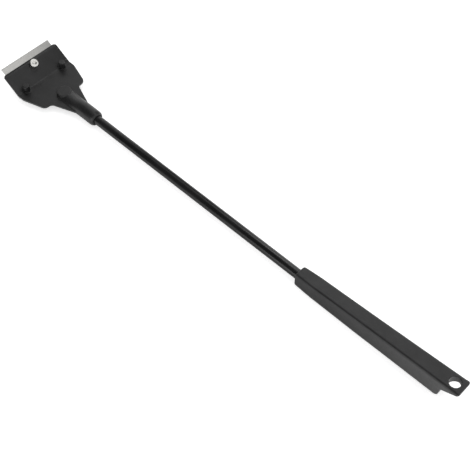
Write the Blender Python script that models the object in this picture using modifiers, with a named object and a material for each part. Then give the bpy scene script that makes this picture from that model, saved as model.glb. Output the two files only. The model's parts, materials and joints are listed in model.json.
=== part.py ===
"""Aquarium algae scraper: a moulded head clamps a single-edge blade, and a long round rod joins it to a hand grip.

The tool lies along X with the blade at -X and the grip at +X, and +Z is up. The origin is under the middle of its
length, on the surface that it lies on. Lengths are in metres. Places along the tool are first measured from the
crease, where the tilted jaw meets the flat rear plate, and places on the jaw are measured in the jaw's own frame:
-X runs from the crease to the jaw's front edge, and Z is square to the jaw.
"""

import math

import bmesh
import bpy
from mathutils import Matrix

# Blade
BLADE_WIDTH = 0.0381
BLADE_DEPTH = 0.0190
BLADE_THICKNESS = 0.00023
GRIND_DEPTH = 0.0009
EDGE_THICKNESS = 0.00003
SLOT_WIDTH = 0.0034
SLOT_LENGTH = 0.0055
SLOT_END_RADIUS = 0.00169
SLOT_FROM_EDGE = 0.0055
NOTCH_DEPTH = 0.0038
NOTCH_LENGTH = 0.0033
NOTCH_FROM_EDGE = 0.0076

# Folded steel back of the blade
SPINE_OVERHANG = 0.0005
SPINE_DEPTH = 0.0065
SPINE_THICKNESS = 0.0010
SPINE_WALL = 0.00032
FOLD_RADIUS = 0.0004
FOLD_GAP = 0.00006

# How the blade sits in the jaws
BLADE_SHOWN = 0.00458
BLADE_MARGIN = 0.00078
BLADE_TRAVEL = 0.0009
STOP_GAP = 0.00007
SEAT_GAP = 0.0001
SIDE_GAP = 0.0003

# Clamp screw and nut, both M3
SCREW_DIAMETER = 0.0029
SCREW_LENGTH = 0.0060
SCREW_HEAD_DIAMETER = 0.0055
SCREW_HEAD_HEIGHT = 0.0030
SCREW_CHAMFER = 0.0003
SOCKET_ACROSS_FLATS = 0.0025
SOCKET_DEPTH = 0.0015
NUT_ACROSS_FLATS = 0.0055
NUT_THICKNESS = 0.0018
THREAD_GAP = 0.00005
SCREW_HOLE_GAP = 0.00025
NUT_GAP = 0.0001

# Upper jaw, moulded in one piece with the rear plate
JAW_TILT = math.radians(33.0)
JAW_THICKNESS = 0.0017
JAW_SIDE_MARGIN = 0.0017
JAW_CORNER_RADIUS = 0.00175
CREASE_RADIUS = 0.0009
PLATE_EDGE_RADIUS = 0.0004

# Rear plate, its shoulders and the web that runs out to the neck
PLATE_THICKNESS = 0.0016
PLATE_RISE = 0.00054
PLATE_LENGTH = 0.0204
TAPER_START = 0.0045
SHOULDER_FROM_BLADE_END = 0.0027
SHOULDER_RADIUS = 0.0036
SHOULDER_STEP = 0.0051
WEB_ROOT_RADIUS = 0.0027
WEB_END = 0.0372
WEB_END_WIDTH = 0.0102
WEB_END_RADIUS = 0.0140

# Bosses at the crease, and the clamp plate's pins inside them
BOSS_RADIUS = 0.00215
BOSS_FROM_BLADE_END = 0.00435
BOSS_HEIGHT = 0.0048
BOSS_FROM_CREASE = 0.0007
BOSS_EDGE_RADIUS = 0.0004
PIN_RADIUS = 0.0008
PIN_BACK = 0.00095
PIN_REACH = 0.0009
PIN_GAP = 0.00015
PIN_CHAMFER = 0.0002

# Neck and its round post
HEAD_LENGTH = 0.0516
NECK_WALL = 0.0020
NECK_ROOT_HALF_WIDTH = 0.0053
NECK_ROOT_RISE = 0.0031
NECK_ROOT_END = 0.0250
NECK_FULL_START = 0.0400
NECK_MERGE_WIDTH = 0.0075
NOSE_LENGTH = 0.0018
NOSE_DROP = 0.0010
POST_FROM_CREASE = 0.0199
POST_RADIUS = 0.0047
POST_HEIGHT = 0.0027
POST_EDGE_RADIUS = 0.0004
POST_ROOT = -0.0048

# Clamp plate, the lower jaw
CLAMP_THICKNESS = 0.00287
CLAMP_FRONT_MARGIN = 0.0002
CLAMP_SIDE_MARGIN = 0.0005
CLAMP_CORNER_RADIUS = 0.0015
CLAMP_LIP_CHAMFER = 0.0008
CLAMP_HEEL_LENGTH = 0.0020
CLAMP_HEEL_CHAMFER = 0.0012
CLAMP_EDGE_RADIUS = 0.0003

# Rod
ROD_DIAMETER = 0.0060
ROD_SHOWN = 0.1672
ROD_IN_HEAD = 0.0190
ROD_IN_GRIP = 0.0400
ROD_CHAMFER = 0.0005
ROD_GAP = 0.0001

# Grip and its hanging tab
GRIP_LENGTH = 0.1094
GRIP_WALL = 0.0010
GRIP_BODY_WIDTH = 0.0093
GRIP_REAR_WIDTH = 0.0111
GRIP_FLARE_LENGTH = 0.0140
GRIP_FRONT_RISE = 0.00517
GRIP_REAR_RISE = 0.0116
GRIP_DEPTH = 0.0051
GRIP_BUTT_DEPTH = 0.0035
GRIP_SEAT_LENGTH = 0.0440
GRIP_TOP_RADIUS = 0.0015
GRIP_BOTTOM_RADIUS = 0.0010
GRIP_FRONT_RADIUS = 0.0010
GRIP_BROW_RADIUS = 0.0018
BUTT_RADIUS = 0.0025
BUTT_DRAFT = 0.0004
TAB_LENGTH = 0.0106
TAB_ROOT_THICKNESS = 0.0068
TAB_TIP_THICKNESS = 0.0020
TAB_ROOT_RADIUS = 0.0009
TAB_CORNER_RADIUS = 0.0014
HANG_HOLE_DIAMETER = 0.0065
HANG_HOLE_FROM_TAIL = 0.0058

# Segments of round forms
SMALL_ROUND = 24
ROUND = 32
LARGE_ROUND = 48
ARC_STEPS = 5

# How far a cutter runs past what it cuts, and how near a vertex is to count as on an edge
CLEAR = 0.002
NEAR = 0.0002

# Worked out along the jaw, from the crease towards the blade's edge
BLADE_EDGE_REACH = BLADE_MARGIN + BLADE_DEPTH
JAW_LENGTH = BLADE_EDGE_REACH - BLADE_SHOWN
SLOT_BACK_REACH = BLADE_EDGE_REACH - SLOT_FROM_EDGE - SLOT_LENGTH
SCREW_REACH = SLOT_BACK_REACH + STOP_GAP + BLADE_TRAVEL + SCREW_DIAMETER / 2
HEEL_REACH = BLADE_MARGIN - SIDE_GAP
GROOVE_REACH = BLADE_MARGIN + SPINE_DEPTH + BLADE_TRAVEL + SIDE_GAP

# Worked out square to the jaw, from its top face down
BLADE_MID = -JAW_THICKNESS - SEAT_GAP - BLADE_THICKNESS / 2
CLAMP_TOP = BLADE_MID - BLADE_THICKNESS / 2 - SEAT_GAP
CLAMP_BOTTOM = CLAMP_TOP - CLAMP_THICKNESS
UPPER_GROOVE = BLADE_MID + SPINE_THICKNESS / 2 + SEAT_GAP
LOWER_GROOVE = BLADE_MID - SPINE_THICKNESS / 2 - SEAT_GAP

# Worked out across the tool
SPINE_LENGTH = BLADE_WIDTH + 2 * SPINE_OVERHANG
HEAD_WIDTH = SPINE_LENGTH + 2 * JAW_SIDE_MARGIN
GROOVE_WIDTH = SPINE_LENGTH + 2 * SIDE_GAP
CLAMP_WIDTH = SPINE_LENGTH + 2 * CLAMP_SIDE_MARGIN
BOSS_SPACING = BLADE_WIDTH - 2 * BOSS_FROM_BLADE_END
SHOULDER_WIDTH = BLADE_WIDTH - 2 * SHOULDER_FROM_BLADE_END
WEB_ROOT_WIDTH = SHOULDER_WIDTH - 2 * SHOULDER_STEP
NECK_RADIUS = ROD_DIAMETER / 2 + NECK_WALL
GRIP_FRONT_WIDTH = ROD_DIAMETER + 2 * GRIP_WALL

# Worked out along the tool and up, in the scene's frame
BLADE_TIP_REACH = BLADE_EDGE_REACH * math.cos(JAW_TILT) - BLADE_MID * math.sin(JAW_TILT)
TAIL_REACH = HEAD_LENGTH + ROD_SHOWN + GRIP_LENGTH
CREASE_X = (BLADE_TIP_REACH - TAIL_REACH) / 2
AXIS_Z = max(GRIP_DEPTH, NECK_RADIUS)
PLATE_TOP_Z = AXIS_Z + PLATE_RISE
GRIP_FRONT_X = CREASE_X + HEAD_LENGTH + ROD_SHOWN


def clear_scene():
    for thing in list(bpy.data.objects):
        bpy.data.objects.remove(thing)


def collection(name):
    group = bpy.data.collections.new(name)
    bpy.context.scene.collection.children.link(group)
    return group


def material(name, colour, roughness, metallic):
    made = bpy.data.materials.new(name)
    made.use_nodes = True
    surface = made.node_tree.nodes["Principled BSDF"]
    surface.inputs["Base Color"].default_value = (*colour, 1.0)
    surface.inputs["Roughness"].default_value = roughness
    surface.inputs["Metallic"].default_value = metallic
    made.diffuse_color = (*colour, 1.0)
    return made


def place(name, mesh, group, parent, location):
    """An object of the mesh, in the group, at its place under its parent."""
    thing = bpy.data.objects.new(name, mesh)
    group.objects.link(thing)
    thing.parent = parent
    thing.location = location
    return thing


def piece(name, mesh, parent=None, location=(0.0, 0.0, 0.0)):
    return place(name, mesh, PARTS, parent, location)


def cutter(name, mesh, parent=None, location=(0.0, 0.0, 0.0)):
    thing = place(name, mesh, SHAPERS, parent, location)
    thing.hide_render = True
    thing.display_type = "WIRE"
    return thing


def combine(target, tool, operation):
    step = target.modifiers.new(tool.name, "BOOLEAN")
    step.operation = operation
    step.solver = "EXACT"
    step.object = tool


def finish(thing, finish_material, sharp_angle=math.radians(35.0)):
    """Settles the object's modifiers into its mesh, gives it its material and shades it smooth up to the angle."""
    graph = bpy.context.evaluated_depsgraph_get()
    mesh = bpy.data.meshes.new_from_object(thing.evaluated_get(graph))
    thing.modifiers.clear()
    thing.data = mesh
    mesh.name = thing.name
    mesh.materials.clear()
    mesh.materials.append(finish_material)
    mesh.shade_smooth()
    mesh.set_sharp_from_angle(angle=sharp_angle)


def from_bmesh(name, form):
    bmesh.ops.recalc_face_normals(form, faces=form.faces)
    mesh = bpy.data.meshes.new(name)
    form.to_mesh(mesh)
    form.free()
    return mesh


def rounded(corners, steps=ARC_STEPS):
    """The closed outline of (x, y, radius) corners, each turned into an arc of its radius."""
    points = []
    count = len(corners)
    for i, (x, y, radius) in enumerate(corners):
        if radius <= 0.0:
            points.append((x, y))
            continue
        before, after = corners[i - 1], corners[(i + 1) % count]
        arrive = math.atan2(y - before[1], x - before[0])
        leave = math.atan2(after[1] - y, after[0] - x)
        turn = math.remainder(leave - arrive, 2 * math.pi)
        run = radius * math.tan(abs(turn) / 2)
        side = math.copysign(math.pi / 2, turn)
        start_x, start_y = x - run * math.cos(arrive), y - run * math.sin(arrive)
        centre_x = start_x + radius * math.cos(arrive + side)
        centre_y = start_y + radius * math.sin(arrive + side)
        for step in range(steps + 1):
            angle = arrive - side + turn * step / steps
            points.append((centre_x + radius * math.cos(angle), centre_y + radius * math.sin(angle)))
    return points


def flat_solid(name, outline, thickness):
    """The flat outline, in XY, as a closed mesh with half the thickness above it and half below."""
    curve = bpy.data.curves.new(name, "CURVE")
    curve.dimensions = "2D"
    curve.fill_mode = "BOTH"
    curve.extrude = thickness / 2
    spline = curve.splines.new("POLY")
    spline.points.add(len(outline) - 1)
    for point, (x, y) in zip(spline.points, outline):
        point.co = (x, y, 0.0, 1.0)
    spline.use_cyclic_u = True
    guide = bpy.data.objects.new(name, curve)
    bpy.context.scene.collection.objects.link(guide)
    graph = bpy.context.evaluated_depsgraph_get()
    mesh = bpy.data.meshes.new_from_object(guide.evaluated_get(graph))
    bpy.data.objects.remove(guide)
    bpy.data.curves.remove(curve)
    form = bmesh.new()
    form.from_mesh(mesh)
    bpy.data.meshes.remove(mesh)
    bmesh.ops.remove_doubles(form, verts=form.verts, dist=1e-6)
    bmesh.ops.dissolve_limit(form, angle_limit=math.radians(0.1), verts=form.verts, edges=form.edges)
    return from_bmesh(name, form)


def side_solid(name, outline, width):
    """The outline, in XZ, as a closed mesh that runs half the width to each side along Y."""
    mesh = flat_solid(name, outline, width)
    mesh.transform(Matrix.Rotation(math.radians(90.0), 4, "X"))
    return mesh


def plan_solid(name, outline, low, high):
    """The outline, in XY, as a closed mesh from the low height to the high one."""
    mesh = flat_solid(name, outline, high - low)
    mesh.transform(Matrix.Translation((0.0, 0.0, (low + high) / 2)))
    return mesh


def round_corners(mesh, radius, at_corner, steps=ARC_STEPS):
    """Rounds each edge of the mesh whose two ends both pass the test at_corner."""
    form = bmesh.new()
    form.from_mesh(mesh)
    chosen = [edge for edge in form.edges if all(at_corner(vert.co) for vert in edge.verts)]
    bmesh.ops.bevel(
        form, geom=chosen, offset=radius, offset_type="OFFSET", segments=steps, profile=0.5, affect="EDGES"
    )
    form.to_mesh(mesh)
    form.free()


def edge_bevel(thing, width, segments=2):
    step = thing.modifiers.new("rounded edges", "BEVEL")
    step.width = width
    step.segments = segments
    step.limit_method = "ANGLE"
    step.angle_limit = math.radians(38.0)
    step.use_clamp_overlap = True


def cylinder(name, radius, low, high, segments):
    """A round or many-sided column along Z, from low to high, with flat caps."""
    form = bmesh.new()
    bmesh.ops.create_cone(
        form,
        cap_ends=True,
        segments=segments,
        radius1=radius,
        radius2=radius,
        depth=high - low,
        matrix=Matrix.Translation((0.0, 0.0, (low + high) / 2)),
    )
    return from_bmesh(name, form)


def hexagon(name, across_flats, low, high):
    """A six-sided column along Z with two of its flats facing along X."""
    mesh = cylinder(name, across_flats / math.sqrt(3.0), low, high, 6)
    corner = max(mesh.vertices, key=lambda vert: vert.co.x).co
    if abs(corner.y) < 1e-7:
        mesh.transform(Matrix.Rotation(math.radians(30.0), 4, "Z"))
    return mesh


def turned(name, profile, segments, made_as, parent, location):
    """The (radius, height) profile, listed from its top down, turned round Z, made as a piece or as a cutter."""
    mesh = bpy.data.meshes.new(name)
    mesh.from_pydata(
        [(radius, 0.0, height) for radius, height in profile],
        [(i, i + 1) for i in range(len(profile) - 1)],
        [],
    )
    thing = made_as(name, mesh, parent, location)
    screw = thing.modifiers.new("turning", "SCREW")
    screw.angle = math.radians(360.0)
    screw.steps = segments
    screw.render_steps = segments
    screw.use_merge_vertices = True
    screw.merge_threshold = 1e-6
    screw.use_smooth_shade = True
    return thing


def loft(name, rings):
    """A closed mesh through rings of (x, y, z) points, each with the same number, capped at both ends."""
    form = bmesh.new()
    rows = [[form.verts.new(point) for point in ring] for ring in rings]
    for low, high in zip(rows, rows[1:]):
        for i in range(len(low)):
            j = (i + 1) % len(low)
            form.faces.new((low[i], low[j], high[j], high[i]))
    form.faces.new(rows[0])
    form.faces.new(rows[-1])
    return from_bmesh(name, form)


def arc_inset(distance, radius):
    """How far a rounded edge draws in at this distance from the end face."""
    if distance >= radius:
        return 0.0
    return radius - math.sqrt(radius**2 - (radius - max(distance, 0.0)) ** 2)


def arc_stations(radius, steps=ARC_STEPS):
    """Distances from the end face that follow a rounded edge at even angles."""
    return [radius * (1.0 - math.cos(math.pi / 2 * step / steps)) for step in range(steps + 1)]


def smooth_step(value, low, high):
    share = min(max((value - low) / (high - low), 0.0), 1.0)
    return share * share * (3.0 - 2.0 * share)


def rod_frame(name, x):
    """An empty on the rod's axis at this place along the tool."""
    frame = bpy.data.objects.new(name, None)
    SHAPERS.objects.link(frame)
    frame.location = (x, 0.0, AXIS_Z)
    return frame


def make_jaw_frame():
    """The empty at the crease, tilted with the jaw, that carries the blade, the clamp plate and the screw."""
    frame = bpy.data.objects.new("jaw_frame", None)
    SHAPERS.objects.link(frame)
    frame.location = (CREASE_X, 0.0, PLATE_TOP_Z)
    frame.rotation_euler = (0.0, JAW_TILT, 0.0)
    return frame


def make_crease_frame():
    """The empty at the crease, level with the rear plate's top face, that carries the head."""
    frame = bpy.data.objects.new("crease_frame", None)
    SHAPERS.objects.link(frame)
    frame.location = (CREASE_X, 0.0, PLATE_TOP_Z)
    return frame


def jaw_point(reach, height):
    """A point of the jaw's frame, by its reach from the crease and its height, as (x, z) from the crease."""
    x = -reach * math.cos(JAW_TILT) + height * math.sin(JAW_TILT)
    z = reach * math.sin(JAW_TILT) + height * math.cos(JAW_TILT)
    return x, z


def head_side_outline():
    """The bent strip of jaw and rear plate, seen from the side."""
    under_bend_reach = -(PLATE_THICKNESS - JAW_THICKNESS * math.cos(JAW_TILT)) / math.sin(JAW_TILT)
    strip_end = WEB_END + (HEAD_LENGTH - WEB_END) / 2
    return rounded(
        [
            (*jaw_point(JAW_LENGTH, 0.0), 0.0),
            (*jaw_point(JAW_LENGTH, -JAW_THICKNESS), 0.0),
            (*jaw_point(under_bend_reach, -JAW_THICKNESS), CREASE_RADIUS + JAW_THICKNESS),
            (strip_end, -PLATE_THICKNESS, 0.0),
            (strip_end, 0.0, 0.0),
            (0.0, 0.0, CREASE_RADIUS),
        ]
    )


def head_plan_outline():
    """The rear plate's taper, shoulders and web, seen from above, with room to spare in front of the jaw."""
    taper = (HEAD_WIDTH - SHOULDER_WIDTH) / 2 / (PLATE_LENGTH - TAPER_START)
    front = -JAW_LENGTH - CLEAR
    front_half = HEAD_WIDTH / 2 + taper * TAPER_START
    half = [
        (front, front_half, 0.0),
        (0.0, front_half, 0.0),
        (PLATE_LENGTH, SHOULDER_WIDTH / 2, SHOULDER_RADIUS),
        (PLATE_LENGTH, WEB_ROOT_WIDTH / 2, WEB_ROOT_RADIUS),
        (WEB_END, WEB_END_WIDTH / 2, WEB_END_RADIUS),
        (HEAD_LENGTH, NECK_MERGE_WIDTH / 2, 0.0),
    ]
    return rounded([(x, y, radius) for x, y, radius in half] + [(x, -y, radius) for x, y, radius in half[::-1]])


def neck_ring(x, segments=ROUND):
    """The neck's section at x from the crease: a circle at its mouth, lower and wider where it meets the plate."""
    full = smooth_step(x, NECK_ROOT_END, NECK_FULL_START)
    nose = NOSE_DROP * max(1.0 - (HEAD_LENGTH - x) / NOSE_LENGTH, 0.0)
    half_width = NECK_ROOT_HALF_WIDTH + (NECK_RADIUS - NECK_ROOT_HALF_WIDTH) * full - nose
    rise = NECK_ROOT_RISE + (NECK_RADIUS - NECK_ROOT_RISE) * full - nose
    depth = NECK_RADIUS - nose
    ring = []
    for step in range(segments):
        angle = 2 * math.pi * step / segments
        height = rise if math.sin(angle) > 0.0 else depth
        ring.append((x, half_width * math.cos(angle), -PLATE_RISE + height * math.sin(angle)))
    return ring


def neck_mesh():
    places = [POST_FROM_CREASE]
    places += [NECK_ROOT_END + (NECK_FULL_START - NECK_ROOT_END) * step / 8 for step in range(9)]
    places += [HEAD_LENGTH - NOSE_LENGTH, HEAD_LENGTH]
    return loft("neck", [neck_ring(x) for x in places])


def round_top(radius, top, bottom, edge_radius):
    """The profile of a round column with a rounded upper edge, from its top down."""
    arc = [
        (radius - edge_radius + edge_radius * math.sin(angle), top - edge_radius + edge_radius * math.cos(angle))
        for angle in [math.pi / 2 * step / 3 for step in range(4)]
    ]
    return [(0.0, top)] + arc + [(radius, bottom), (0.0, bottom)]


def make_head(plastic):
    """The moulded head: bent plate, bosses, post and neck in one piece, with the seats for what it holds."""
    strip = side_solid("head_body", head_side_outline(), HEAD_WIDTH)
    front_x = jaw_point(JAW_LENGTH, 0.0)[0] + NEAR
    side_y = HEAD_WIDTH / 2 - NEAR
    round_corners(strip, JAW_CORNER_RADIUS, lambda spot: spot.x < front_x and abs(spot.y) > side_y)
    head = piece("head_body", strip, CREASE_FRAME)
    plan = cutter("head plan", plan_solid("head plan", head_plan_outline(), -JAW_LENGTH, JAW_LENGTH), CREASE_FRAME)
    combine(head, plan, "INTERSECT")
    edge_bevel(head, PLATE_EDGE_RADIUS)

    combine(head, cutter("neck", neck_mesh(), CREASE_FRAME), "UNION")
    post = round_top(POST_RADIUS, POST_HEIGHT, POST_ROOT, POST_EDGE_RADIUS)
    combine(head, turned("post", post, LARGE_ROUND, cutter, CREASE_FRAME, (POST_FROM_CREASE, 0.0, 0.0)), "UNION")
    for side, label in ((-1, "left"), (1, "right")):
        spot = (BOSS_FROM_CREASE, side * BOSS_SPACING / 2, 0.0)
        boss = round_top(BOSS_RADIUS, BOSS_HEIGHT, -PLATE_THICKNESS / 2, BOSS_EDGE_RADIUS)
        combine(head, turned(f"{label} boss", boss, ROUND, cutter, CREASE_FRAME, spot), "UNION")

    bore = cylinder("rod bore", ROD_DIAMETER / 2 + ROD_GAP, -CLEAR, ROD_IN_HEAD + ROD_GAP, ROUND)
    bore.transform(Matrix.Rotation(math.radians(-90.0), 4, "Y"))
    combine(head, cutter("rod bore", bore, rod_frame("neck_mouth", CREASE_X + HEAD_LENGTH)), "DIFFERENCE")
    hole = cylinder("screw hole", SCREW_DIAMETER / 2 + SCREW_HOLE_GAP, -JAW_THICKNESS - CLEAR, CLEAR, SMALL_ROUND)
    combine(head, cutter("screw hole", hole, JAW_FRAME, (-SCREW_REACH, 0.0, 0.0)), "DIFFERENCE")
    groove = plan_solid(
        "spine groove",
        [
            (-GROOVE_REACH, -GROOVE_WIDTH / 2),
            (-HEEL_REACH, -GROOVE_WIDTH / 2),
            (-HEEL_REACH, GROOVE_WIDTH / 2),
            (-GROOVE_REACH, GROOVE_WIDTH / 2),
        ],
        -JAW_THICKNESS - CLEAR,
        UPPER_GROOVE,
    )
    combine(head, cutter("spine groove", groove, JAW_FRAME), "DIFFERENCE")
    for side, label in ((-1, "left"), (1, "right")):
        socket = cylinder(
            "pin socket", PIN_RADIUS + PIN_GAP, -JAW_THICKNESS - CLEAR, PIN_REACH + 2 * PIN_GAP, SMALL_ROUND
        )
        spot = (PIN_BACK, side * BOSS_SPACING / 2, 0.0)
        combine(head, cutter(f"{label} pin socket", socket, JAW_FRAME, spot), "DIFFERENCE")
    finish(head, plastic)
    return head


def make_clamp_plate(plastic):
    """The lower jaw: a heel that bears under the bend, a groove for the spine, a nut pocket and two pins."""
    front = -(JAW_LENGTH - CLAMP_FRONT_MARGIN)
    heel_top = -JAW_THICKNESS - SEAT_GAP
    outline = rounded(
        [
            (front, CLAMP_TOP, 0.0),
            (front, CLAMP_BOTTOM + CLAMP_LIP_CHAMFER, 0.0),
            (front + CLAMP_LIP_CHAMFER, CLAMP_BOTTOM, 0.0),
            (CLAMP_HEEL_LENGTH - CLAMP_HEEL_CHAMFER, CLAMP_BOTTOM, 0.0),
            (CLAMP_HEEL_LENGTH, CLAMP_BOTTOM + CLAMP_HEEL_CHAMFER, 0.0),
            (CLAMP_HEEL_LENGTH, heel_top, 0.0),
            (-HEEL_REACH, heel_top, 0.0),
            (-HEEL_REACH, LOWER_GROOVE, 0.0),
            (-GROOVE_REACH, LOWER_GROOVE, 0.0),
            (-GROOVE_REACH, CLAMP_TOP, 0.0),
        ]
    )
    mesh = side_solid("clamp_plate", outline, CLAMP_WIDTH + CLEAR)
    mesh.transform(Matrix.Translation((SCREW_REACH, 0.0, 0.0)))
    plate = piece("clamp_plate", mesh, JAW_FRAME, (-SCREW_REACH, 0.0, 0.0))
    rear = CLAMP_HEEL_LENGTH + CLEAR
    plan = rounded(
        [
            (rear, -CLAMP_WIDTH / 2, 0.0),
            (rear, CLAMP_WIDTH / 2, 0.0),
            (front - NEAR / 10, CLAMP_WIDTH / 2, CLAMP_CORNER_RADIUS),
            (front - NEAR / 10, -CLAMP_WIDTH / 2, CLAMP_CORNER_RADIUS),
        ]
    )
    sides = plan_solid("clamp plan", plan, CLAMP_BOTTOM - CLEAR, CLAMP_TOP + CLEAR)
    combine(plate, cutter("clamp plan", sides, JAW_FRAME), "INTERSECT")
    edge_bevel(plate, CLAMP_EDGE_RADIUS, 1)
    for side, label in ((-1, "left"), (1, "right")):
        pin = [
            (0.0, PIN_REACH),
            (PIN_RADIUS - PIN_CHAMFER, PIN_REACH),
            (PIN_RADIUS, PIN_REACH - PIN_CHAMFER),
            (PIN_RADIUS, CLAMP_TOP - CLAMP_THICKNESS / 2),
            (0.0, CLAMP_TOP - CLAMP_THICKNESS / 2),
        ]
        spot = (PIN_BACK, side * BOSS_SPACING / 2, 0.0)
        combine(plate, turned(f"{label} pin", pin, SMALL_ROUND, cutter, JAW_FRAME, spot), "UNION")
    hole = cylinder(
        "clamp hole", SCREW_DIAMETER / 2 + SCREW_HOLE_GAP, CLAMP_BOTTOM - CLEAR, CLAMP_TOP + CLEAR, SMALL_ROUND
    )
    combine(plate, cutter("clamp hole", hole, JAW_FRAME, (-SCREW_REACH, 0.0, 0.0)), "DIFFERENCE")
    pocket = hexagon(
        "nut pocket", NUT_ACROSS_FLATS + 2 * NUT_GAP, CLAMP_BOTTOM - CLEAR, CLAMP_BOTTOM + NUT_THICKNESS + NUT_GAP
    )
    combine(plate, cutter("nut pocket", pocket, JAW_FRAME, (-SCREW_REACH, 0.0, 0.0)), "DIFFERENCE")
    finish(plate, plastic)
    return plate


def make_nut(steel):
    """The hexagon nut, flush with the underside of the clamp plate."""
    mesh = hexagon("clamp_nut", NUT_ACROSS_FLATS, CLAMP_BOTTOM, CLAMP_BOTTOM + NUT_THICKNESS)
    nut = piece("clamp_nut", mesh, JAW_FRAME, (-SCREW_REACH, 0.0, 0.0))
    bore = cylinder(
        "nut bore", SCREW_DIAMETER / 2 + THREAD_GAP, CLAMP_BOTTOM - CLEAR, CLAMP_BOTTOM + NUT_THICKNESS + CLEAR, ROUND
    )
    combine(nut, cutter("nut bore", bore, JAW_FRAME, (-SCREW_REACH, 0.0, 0.0)), "DIFFERENCE")
    finish(nut, steel)
    return nut


def make_screw(steel):
    """The socket-head cap screw, with its head on the jaw's top face."""
    head_radius, shank_radius = SCREW_HEAD_DIAMETER / 2, SCREW_DIAMETER / 2
    under, top, tip = SEAT_GAP, SEAT_GAP + SCREW_HEAD_HEIGHT, SEAT_GAP - SCREW_LENGTH
    profile = [
        (0.0, top),
        (head_radius - SCREW_CHAMFER, top),
        (head_radius, top - SCREW_CHAMFER),
        (head_radius, under),
        (shank_radius, under),
        (shank_radius, tip + SCREW_CHAMFER),
        (shank_radius - SCREW_CHAMFER, tip),
        (0.0, tip),
    ]
    screw = turned("clamp_screw", profile, ROUND, piece, JAW_FRAME, (-SCREW_REACH, 0.0, 0.0))
    socket = hexagon("screw socket", SOCKET_ACROSS_FLATS, top - SOCKET_DEPTH, top + CLEAR)
    combine(screw, cutter("screw socket", socket, JAW_FRAME, (-SCREW_REACH, 0.0, 0.0)), "DIFFERENCE")
    finish(screw, steel)
    return screw


def make_blade_sheet(steel):
    """The blade's thin sheet, ground on both sides of its edge, with its slot and side notches."""
    half, edge_half = BLADE_THICKNESS / 2, EDGE_THICKNESS / 2
    back = -(BLADE_MARGIN + SPINE_WALL + FOLD_GAP)
    outline = [
        (back, half),
        (-BLADE_EDGE_REACH + GRIND_DEPTH, half),
        (-BLADE_EDGE_REACH, edge_half),
        (-BLADE_EDGE_REACH, -edge_half),
        (-BLADE_EDGE_REACH + GRIND_DEPTH, -half),
        (back, -half),
    ]
    mesh = side_solid("blade_sheet", outline, BLADE_WIDTH)
    sheet = piece("blade_sheet", mesh, JAW_FRAME, (0.0, 0.0, BLADE_MID))
    slot_front = -(BLADE_EDGE_REACH - SLOT_FROM_EDGE)
    slot = rounded(
        [
            (slot_front, -SLOT_WIDTH / 2, SLOT_END_RADIUS),
            (slot_front + SLOT_LENGTH, -SLOT_WIDTH / 2, SLOT_END_RADIUS),
            (slot_front + SLOT_LENGTH, SLOT_WIDTH / 2, SLOT_END_RADIUS),
            (slot_front, SLOT_WIDTH / 2, SLOT_END_RADIUS),
        ]
    )
    combine(sheet, cutter("blade slot", plan_solid("blade slot", slot, -CLEAR, CLEAR), sheet), "DIFFERENCE")
    notch_front = -(BLADE_EDGE_REACH - NOTCH_FROM_EDGE)
    for side, label in ((-1, "left"), (1, "right")):
        inner, outer = side * (BLADE_WIDTH / 2 - NOTCH_DEPTH), side * (BLADE_WIDTH / 2 + CLEAR)
        corners = [
            (notch_front, inner),
            (notch_front + NOTCH_LENGTH, inner),
            (notch_front + NOTCH_LENGTH, outer),
            (notch_front, outer),
        ]
        notch = plan_solid(f"{label} notch", corners, -CLEAR, CLEAR)
        combine(sheet, cutter(f"{label} notch", notch, sheet), "DIFFERENCE")
    finish(sheet, steel)
    return sheet


def make_blade_spine(steel):
    """The folded back that stiffens the blade: a strip bent round the sheet's back edge."""
    back, front = -BLADE_MARGIN, -(BLADE_MARGIN + SPINE_DEPTH)
    outer, inner = SPINE_THICKNESS / 2, SPINE_THICKNESS / 2 - SPINE_WALL
    outline = rounded(
        [
            (back, -outer, FOLD_RADIUS),
            (back, outer, FOLD_RADIUS),
            (front, outer, 0.0),
            (front, inner, 0.0),
            (back - SPINE_WALL, inner, 0.0),
            (back - SPINE_WALL, -inner, 0.0),
            (front, -inner, 0.0),
            (front, -outer, 0.0),
        ]
    )
    mesh = side_solid("blade_spine", outline, SPINE_LENGTH)
    spine = piece("blade_spine", mesh, JAW_FRAME, (0.0, 0.0, BLADE_MID))
    finish(spine, steel)
    return spine


def make_rod(coated_steel):
    """The long rod, from its seat in the neck to its seat in the grip."""
    length = ROD_IN_HEAD + ROD_SHOWN + ROD_IN_GRIP
    radius = ROD_DIAMETER / 2
    profile = [
        (0.0, length),
        (radius - ROD_CHAMFER, length),
        (radius, length - ROD_CHAMFER),
        (radius, ROD_CHAMFER),
        (radius - ROD_CHAMFER, 0.0),
        (0.0, 0.0),
    ]
    rod = turned("rod", profile, ROUND, piece, None, (CREASE_X + HEAD_LENGTH - ROD_IN_HEAD, 0.0, AXIS_Z))
    rod.rotation_euler = (0.0, math.radians(90.0), 0.0)
    finish(rod, coated_steel)
    return rod


def grip_half_width(x):
    """Half the grip's width, which flares behind its front face and then grows slowly towards its tail."""
    flare = (GRIP_BODY_WIDTH - GRIP_FRONT_WIDTH) * max(1.0 - x / GRIP_FLARE_LENGTH, 0.0) ** 1.5
    return (GRIP_BODY_WIDTH + (GRIP_REAR_WIDTH - GRIP_BODY_WIDTH) * (x / GRIP_LENGTH) ** 2 - flare) / 2


def grip_top(x):
    return GRIP_FRONT_RISE + (GRIP_REAR_RISE - GRIP_FRONT_RISE) * x / GRIP_LENGTH


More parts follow.
